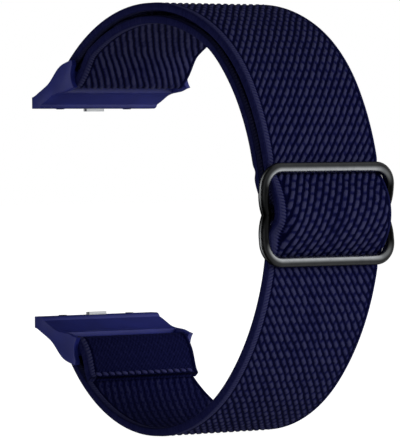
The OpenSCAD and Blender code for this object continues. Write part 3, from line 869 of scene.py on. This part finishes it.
class StrapWebbing(bpy.types.PropertyGroup):
    """Sizes and colours of the woven webbing."""

    column_pitch: length_property("Rib pitch", "Distance from rib to rib across the strap", 1.43)
    row_pitch: length_property("Row pitch", "Distance from row to row along the strap", 1.74)
    relief: length_property("Relief", "Depth of the gaps between the ribs", 0.2)
    left_selvedge: length_property("Left selvedge", "Width of the selvedge on the left", 1.45)
    right_selvedge: length_property("Right selvedge", "Width of the other selvedge", 0.55)
    tie_pitch: length_property("Tie pitch", "Distance between the left selvedge's small ties", 0.58)
    spare: length_property("Spare", "Extra half width for the fuzz at the edges", 0.15)
    edge_round: length_property("Edge round", "Depth of each rounded edge", 0.28)
    dent: length_property("Dent", "Depth that the slider's bars press into the webbing", 0.5)
    column_step: length_property("Mesh step across", "Distance between the lines along the strap", 0.2)
    row_step: length_property("Mesh step along", "Distance between the lines across the strap", 0.27)
    # The gap colour holds painted shade deep between the ribs, and the rib colour painted light on their
    # tops, over the yarn's own colour
    gap_colour: colour_property("Gap colour", "Colour deep between the ribs", "#01021d")
    yarn_colour: colour_property("Yarn colour", "Colour of the yarn", "#13153d")
    top_colour: colour_property("Rib colour", "Colour on top of the ribs", "#303150")


class StrapStitches(bpy.types.PropertyGroup):
    """Sizes and colours of the stitches."""

    pitch: length_property("Pitch", "Distance from stitch to stitch", 1.45)
    length: length_property("Length", "Length of a stitch's lump", 1.05)
    thread: length_property("Thread", "Width of a stitch's lump", 0.75)
    light: colour_property("Light thread", "The thread's lighter colour", "#363762")
    dark: colour_property("Dark thread", "The thread's darker colour", "#252652")


class StrapSlider(bpy.types.PropertyGroup):
    """Colours of the slider's plating, and how much painted highlight its rails get."""

    # Painted highlight on each side's rails, as a share of the bars' painted highlight
    left_painted_light: share_property("Left rail's polish", "Share of the bars' shine on the left rails", 0.5)
    right_painted_light: share_property("Right rail's polish", "Share of the bars' shine on the right rails", 0.26)
    light: colour_property("Light plating", "The plating's lighter colour", "#a9acae")
    dark: colour_property("Dark plating", "The plating's darker colour", "#9a9da0")


class StrapConnectors(bpy.types.PropertyGroup):
    """Edges and colours of the connectors and of the pads in their feet."""

    edge_radius: length_property("Edge radius", "Radius of the connectors' rounded edges", 0.35)
    light: colour_property("Light shell", "The polymer's lighter colour", "#1c236e")
    dark: colour_property("Dark shell", "The polymer's darker colour", "#161c60")
    pad_light: colour_property("Light pad", "The elastomer's lighter colour", "#2a2a2f")
    pad_dark: colour_property("Dark pad", "The elastomer's darker colour", "#1f1f23")


class StrapLatches(bpy.types.PropertyGroup):
    """Colours of the latches."""

    light: colour_property("Light steel", "The steel's lighter colour", "#c6c8ca")
    dark: colour_property("Dark steel", "The steel's darker colour", "#a9abad")


class StrapStage(bpy.types.PropertyGroup):
    """Colour of the paper and power of the lamps."""

    paper: colour_property("Paper", "Colour of the floor's paper", "#f4f4f4")
    key: power_property("Key lamp", "Power of the lamp in front on the right", 10.0)
    fill: power_property("Fill lamp", "Power of the lamp on the left", 1.5)
    back: power_property("Back lamp", "Power of the lamp behind", 9.0)


class STRAP_OT_webbing(bpy.types.Operator):
    """Weaves the webbing: its lower run, its outer upper run, and its inner run with the sewn end"""

    bl_idname = "strap.webbing"
    bl_label = "Webbing"

    def execute(self, context):
        looks = plain(context.scene.strap_webbing)
        material = nylon_webbing_material(looks)
        full, far = 1 / looks.row_pitch, 200
        lower = webbing_piece(
            "webbing_front_and_bottom",
            lower_route(),
            -1,
            ([(0, -full), (far, -full)], [(0, -0.3), (far, -0.3)]),
            looks,
            material,
            calm_from=78.0,
            inside_calm=0.7,
        )
        outer = webbing_piece(
            "webbing_outer_layer",
            outer_route(),
            1,
            (
                [(0, -0.15), (6, -0.25), (9, -0.32), (13, -0.36), (17, -full), (far, -full)],
                [(0, 0.2), (far, 0.2)],
            ),
            looks,
            material,
            curl=1.0,
        )
        inner = webbing_piece(
            "webbing_inner_layer",
            inner_route(),
            1,
            ([(0, 0.5), (far, 0.5)], [(0, -0.2), (far, -0.2)]),
            looks,
            material,
            even=0.75,
        )
        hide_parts("webbing_lower_run")
        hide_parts("webbing_upper_run", "webbing_slider_pass")
        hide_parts("webbing_slider_tail", "slider_hem")
        bend(lower)
        bend(outer)
        bend(inner)
        return {"FINISHED"}


class STRAP_OT_stitches(bpy.types.Operator):
    """Sews the two hems with rows of thread lumps on the faces that can be seen"""

    bl_idname = "strap.stitches"
    bl_label = "Stitches"

    def execute(self, context):
        looks = plain(context.scene.strap_stitches)
        # Bonding resin gives the twisted thread only a faint gleam
        thread = grained_material("Bonded nylon thread", looks.light, looks.dark, 0.6, 0.1)
        out = polar(1, LOW_END_A - math.degrees((HEM_LEN - HEM_STITCH_IN) / LOW_R))
        middle = LOW_C + LOW_R * out
        deep = 2 * WEB_T + float(hem_gap(middle[None])[0])
        inside = stitch_piece("hem_stitches_inside", middle - deep * out, -out, HEM_ROW, looks, thread)
        outside = stitch_piece("hem_stitches_outside", middle, out, HEM_ROW, looks, thread)
        for row in (inside, outside):
            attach(row, "webbing")
            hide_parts("lower_hem_stitching")
        s = TAIL_LEN - TAIL_STITCH_IN
        face = at_slider(s, HEM_END_DEPTH + TIGHT_T / 2)
        normal = polar(1, SLIDER_A - s * MM_A)
        end = stitch_piece("slider_hem_stitches", face, normal, TAIL_ROW, looks, thread)
        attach(end, "slider_carriage")
        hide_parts("slider_hem_stitching")
        return {"FINISHED"}


class STRAP_OT_slider(bpy.types.Operator):
    """Bends the slider's wire and plates it and the centre bar"""

    bl_idname = "strap.slider"
    bl_label = "Slider"

    def execute(self, context):
        looks = plain(context.scene.strap_slider)
        # The wire's plating carries painted light and shade, and the centre bar's plating does not
        rubbed = gunmetal_material("Rubbed gunmetal plating", looks.light, looks.dark, True)
        wire = wire_piece(looks, rubbed)
        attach(wire, "slider")
        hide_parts("slider_frame")
        dress("slider_centre_bar", gunmetal_material("Gunmetal plating", looks.light, looks.dark, False))
        return {"FINISHED"}


class STRAP_OT_connectors(bpy.types.Operator):
    """Rounds both connectors and finishes the pads in their feet"""

    bl_idname = "strap.connectors"
    bl_label = "Connectors"

    def execute(self, context):
        looks = plain(context.scene.strap_connectors)
        # A lightly textured mould leaves the shell half matt, with one broad soft highlight
        shell = grained_material("Moulded navy polymer", looks.light, looks.dark, 0.44, 0.32)
        # Moulded rubber is duller than the shell and nearly black
        rubber = grained_material("Moulded elastomer", looks.pad_light, looks.pad_dark, 0.7, 0.5)
        for side in ("upper", "lower"):
            shell_piece(side, shell, looks.edge_radius)
            dress(side + "_foot_pads", rubber)
        return {"FINISHED"}


class STRAP_OT_latches(bpy.types.Operator):
    """Makes the latches' leaf springs and finishes their buttons and covers"""

    bl_idname = "strap.latches"
    bl_label = "Latches"

    def execute(self, context):
        looks = plain(context.scene.strap_latches)
        steel = steel_material(looks.light, looks.dark)
        for side in ("upper", "lower"):
            spring_piece(side, steel)
            for part in ("button", "cover"):
                dress(f"{side}_latch_{part}", steel)
        return {"FINISHED"}


def lay_floor(colour):
    """A level sheet of paper just under the strap. It stays out of reflections, which see the tent."""
    size, level = 4000.0, CAD_BOX[0][2] / MM - 0.1
    corners = [(x * size, y * size, level) for x, y in ((-1, -1), (1, -1), (1, 1), (-1, 1))]
    floor = new_piece("floor", corners, [[0, 1, 2, 3]], paper_material(colour), smooth_shading=False)
    floor.visible_glossy = False


def pitch_tent():
    """A sphere round the object that only reflections see, with the lit panels on its cloth: a circle for
    each height, as wide as the height's cosine."""
    rows, columns, radius = 25, 48, 400.0
    height = np.radians(np.linspace(-89.9, 89.9, rows))[:, None]
    turn = np.radians(np.arange(columns) * 360 / columns)[None, :]
    wide, level = np.cos(height), np.sin(height)
    points = np.stack([wide * np.cos(turn), wide * np.sin(turn), level + 0 * turn], -1)
    faces = grid_faces(rows, columns).tolist()
    tent = new_piece("tent", points.reshape(-1, 3) * radius, faces, tent_material(radius))
    tent.visible_camera = tent.visible_diffuse = tent.visible_shadow = tent.visible_transmission = False


def fill_world(scene):
    """A world that is white to the eye and gives the object only a faint light from all round."""
    world = bpy.data.worlds.new("Studio")
    world.use_nodes = True
    tree = world.node_tree
    tree.nodes.clear()
    strength = add_node(tree, "Math MULTIPLY_ADD", seen_by_eye(tree), 0.92, 0.08)
    add_node(tree, "OutputWorld", add_node(tree, "Background", linear("#ffffff"), strength))
    scene.world = world


class STRAP_OT_stage(bpy.types.Operator):
    """Sets the pale floor, the soft lights and the camera"""

    bl_idname = "strap.stage"
    bl_label = "Stage"

    def execute(self, context):
        scene = context.scene
        looks = plain(scene.strap_stage)
        lay_floor(looks.paper)
        pitch_tent()
        fill_world(scene)
        for name, place, size in LAMPS:
            light = bpy.data.lights.new(name, "AREA")
            light.size, light.energy = size, getattr(looks, name)
            lamp = bpy.data.objects.new(name, light)
            lamp.visible_glossy = False
            scene.collection.objects.link(lamp)
            lamp.location = place
            lamp.rotation_mode = "QUATERNION"
            lamp.rotation_quaternion = (-lamp.location).to_track_quat("-Z", "Y")
        data = bpy.data.cameras.new("camera")
        data.lens, data.sensor_width = CAMERA_LENS, CAMERA_SENSOR
        data.clip_start, data.clip_end = 0.01, 20.0
        camera = bpy.data.objects.new("camera", data)
        scene.collection.objects.link(camera)
        camera.matrix_world = Matrix([*zip(*CAMERA_AXES, CAMERA_PLACE), (0, 0, 0, 1)])
        scene.camera = camera
        scene.view_settings.view_transform = "Standard"
        return {"FINISHED"}


# Each operator with the property group that it reads and the group's name in the scene
STEPS = [
    (STRAP_OT_webbing, StrapWebbing, "strap_webbing"),
    (STRAP_OT_stitches, StrapStitches, "strap_stitches"),
    (STRAP_OT_slider, StrapSlider, "strap_slider"),
    (STRAP_OT_connectors, StrapConnectors, "strap_connectors"),
    (STRAP_OT_latches, StrapLatches, "strap_latches"),
    (STRAP_OT_stage, StrapStage, "strap_stage"),
]


class STRAP_PT_panel(bpy.types.Panel):
    """Lists the strap's pieces with their sizes and colours"""

    bl_idname = "STRAP_PT_panel"
    bl_label = "Nylon strap"
    bl_space_type = "VIEW_3D"
    bl_region_type = "UI"
    bl_category = "Strap"

    def draw(self, context):
        for operator, group, place in STEPS:
            box = self.layout.box()
            box.operator(operator.bl_idname)
            for name in group.__annotations__:
                box.prop(getattr(context.scene, place), name)


def register():
    """Makes the add-on's classes known, and gives the scene its property groups."""
    for operator, group, place in STEPS:
        bpy.utils.register_class(group)
        bpy.utils.register_class(operator)
        setattr(bpy.types.Scene, place, bpy.props.PointerProperty(type=group))
    bpy.utils.register_class(STRAP_PT_panel)


def unregister():
    """Takes back what register did."""
    bpy.utils.unregister_class(STRAP_PT_panel)
    for operator, group, place in reversed(STEPS):
        delattr(bpy.types.Scene, place)
        bpy.utils.unregister_class(operator)
        bpy.utils.unregister_class(group)


def main():
    """Registers the add-on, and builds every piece."""
    register()
    bpy.ops.strap.webbing()
    bpy.ops.strap.stitches()
    bpy.ops.strap.slider()
    bpy.ops.strap.connectors()
    bpy.ops.strap.latches()
    bpy.ops.strap.stage()


if __name__ == "__main__":
    main()
